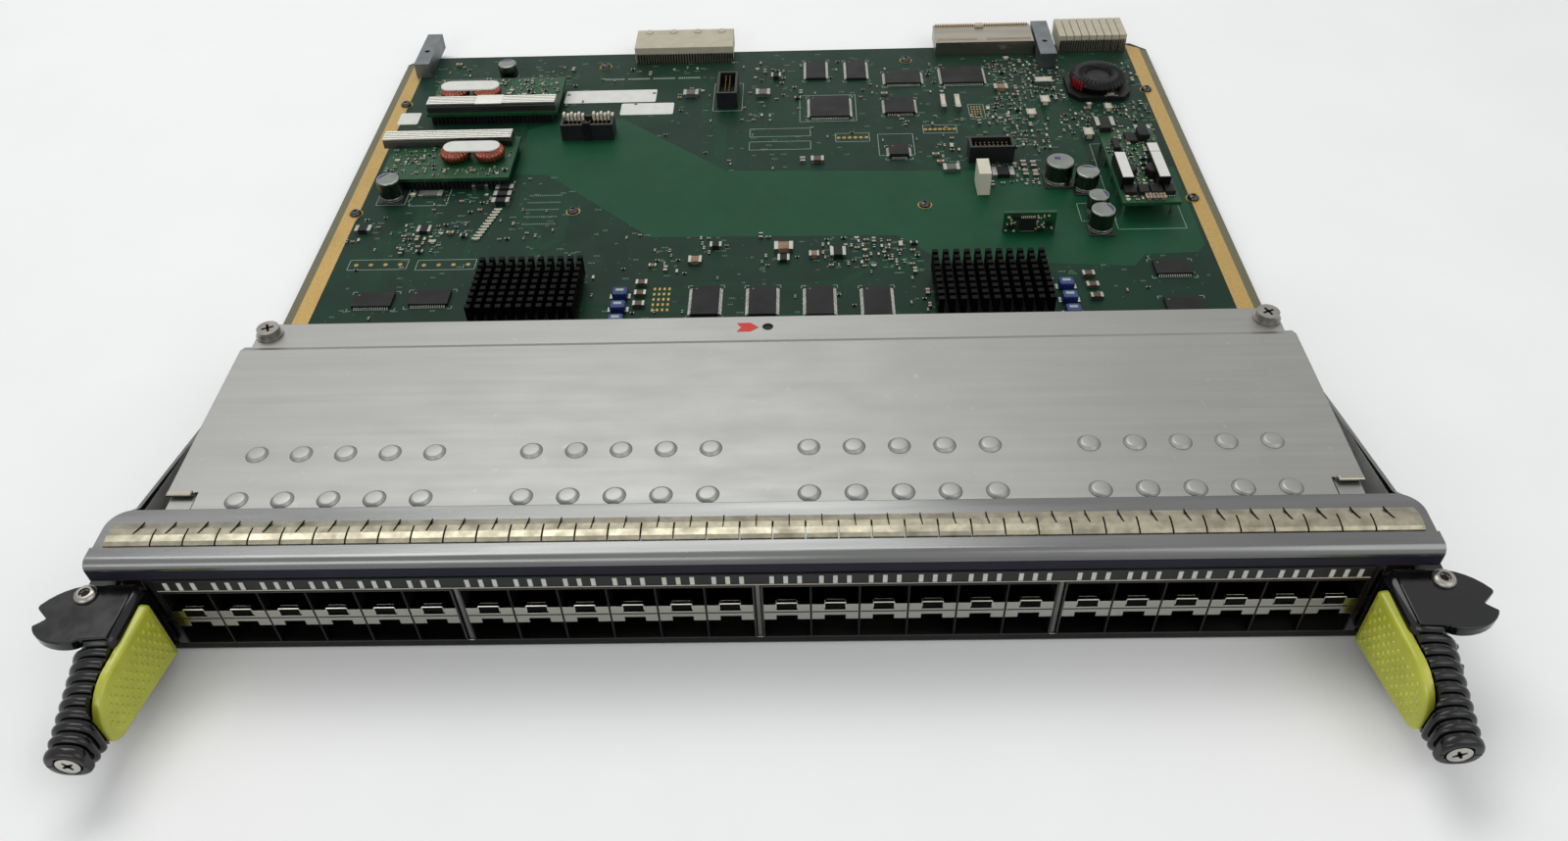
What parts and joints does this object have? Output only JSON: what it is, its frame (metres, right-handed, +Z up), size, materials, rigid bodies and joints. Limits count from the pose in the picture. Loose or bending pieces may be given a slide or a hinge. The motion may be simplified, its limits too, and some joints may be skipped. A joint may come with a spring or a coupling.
{
  "type": "switch line card",
  "caption": "Plug-in switch line card: steel faceplate with stacked transceiver cages, cover, green board with components, rear connectors and two swinging ejector levers.",
  "frame": {"origin": "middle of the width, on the plane of the faceplate's front, at the underside", "axes": "+X to the right seen from the front, +Y from the faceplate to the rear connectors, +Z up"},
  "size_m": [0.4088, 0.439, 0.0421],
  "materials": {
    "black_paint": "satin black powder coat",
    "finger_metal": "dull tinned spring strip",
    "cage_steel": "plain stamped steel",
    "mirror_steel": "bright rolled sheet",
    "black_plastic": "moulded, matt",
    "light_pipe": "clear moulded, frosted end",
    "cover_steel": "plain rolled sheet",
    "screw_steel": "bright machined",
    "black_screw": "black oxide",
    "pan_steel": "plain zinc coated sheet",
    "green_board": "dark green solder mask, satin",
    "dark_plastic": "moulded, matt",
    "grey_shield": "dull shield metal",
    "module_board": "green solder mask",
    "bar_aluminium": "extruded, plain",
    "choke_copper": "enamelled copper over a core",
    "choke_dark": "dark core",
    "can_aluminium": "bright can",
    "chip_plastic": "moulded epoxy",
    "blue_plastic": "glossy blue",
    "white_plastic": "moulded, off-white",
    "sink_black": "black anodised",
    "lever_plastic": "moulded black, satin to gloss",
    "yellow_plastic": "moulded yellow green",
    "bracket_black": "black coated steel"
  },
  "bodies": {
    "card": {"blue_capacitors": "blue_plastic", "board_screws": "black_screw", "board_spacers": "screw_steel", "bottom_pan": "pan_steel", "cage_shell_1": "cage_steel", "cage_shell_2": "cage_steel", "cage_shell_3": "cage_steel", "cage_shell_4": "cage_steel", "capacitor_cans": "can_aluminium", "converter_bars": "bar_aluminium", "converter_boards": "module_board", "converter_chokes": "choke_copper", "converter_pins": "screw_steel", "cover_pillars": "screw_steel", "cover_plate": "cover_steel", "cover_screws": "screw_steel", "daughter_board": "module_board", "faceplate": "black_paint", "flat_chips": "chip_plastic", "gasket_strip": "finger_metal", "guide_block_left": "dark_plastic", "guide_block_right": "dark_plastic", "heat_sink_left": "sink_black", "heat_sink_right": "sink_black", "light_pipe_bezel": "black_plastic", "light_pipes": "light_pipe", "main_board": "green_board", "pivot_bracket_left": "bracket_black", "pivot_bracket_right": "bracket_black", "pivot_posts": "bracket_black", "pivot_screws": "screw_steel", "port_connector_1": "black_plastic", "port_connector_2": "black_plastic", "port_connector_3": "black_plastic", "port_connector_4": "black_plastic", "port_dividers_1": "mirror_steel", "port_dividers_2": "mirror_steel", "port_dividers_3": "mirror_steel", "port_dividers_4": "mirror_steel", "port_separators_1": "cage_steel", "port_separators_2": "cage_steel", "port_separators_3": "cage_steel", "port_separators_4": "cage_steel", "power_chokes": "choke_dark", "power_connector": "black_plastic", "power_module": "module_board", "ring_inductor": "choke_dark", "shielded_connector": "grey_shield", "shrouded_headers": "dark_plastic", "signal_connector": "dark_plastic", "upright_header": "white_plastic"},
    "lever_left": {"lever_upper_left": "lever_plastic", "lever_lower_left": "lever_plastic", "grip_pad_left": "yellow_plastic"},
    "lever_right": {"lever_upper_right": "lever_plastic", "lever_lower_right": "lever_plastic", "grip_pad_right": "yellow_plastic"},
    "captive_screw_left": {"captive_screw_left": "screw_steel"},
    "captive_screw_right": {"captive_screw_right": "screw_steel"}
  },
  "joints": [
    {"name": "lever_left_swing", "type": "hinge", "parent": "card", "child": "lever_left", "pos_m": [-0.1928, -0.0043, 0.01835], "axis": [0, 0, 1], "range_deg": [-35, 0]},
    {"name": "lever_right_swing", "type": "hinge", "parent": "card", "child": "lever_right", "pos_m": [0.1928, -0.0043, 0.01835], "axis": [0, 0, 1], "range_deg": [0, 35]},
    {"name": "captive_screw_left_slide", "type": "slide", "parent": "lever_left", "child": "captive_screw_left", "axis": [0, -1, 0], "range_m": [0, 0.006]},
    {"name": "captive_screw_right_slide", "type": "slide", "parent": "lever_right", "child": "captive_screw_right", "axis": [0, -1, 0], "range_m": [0, 0.006]}
  ]
}
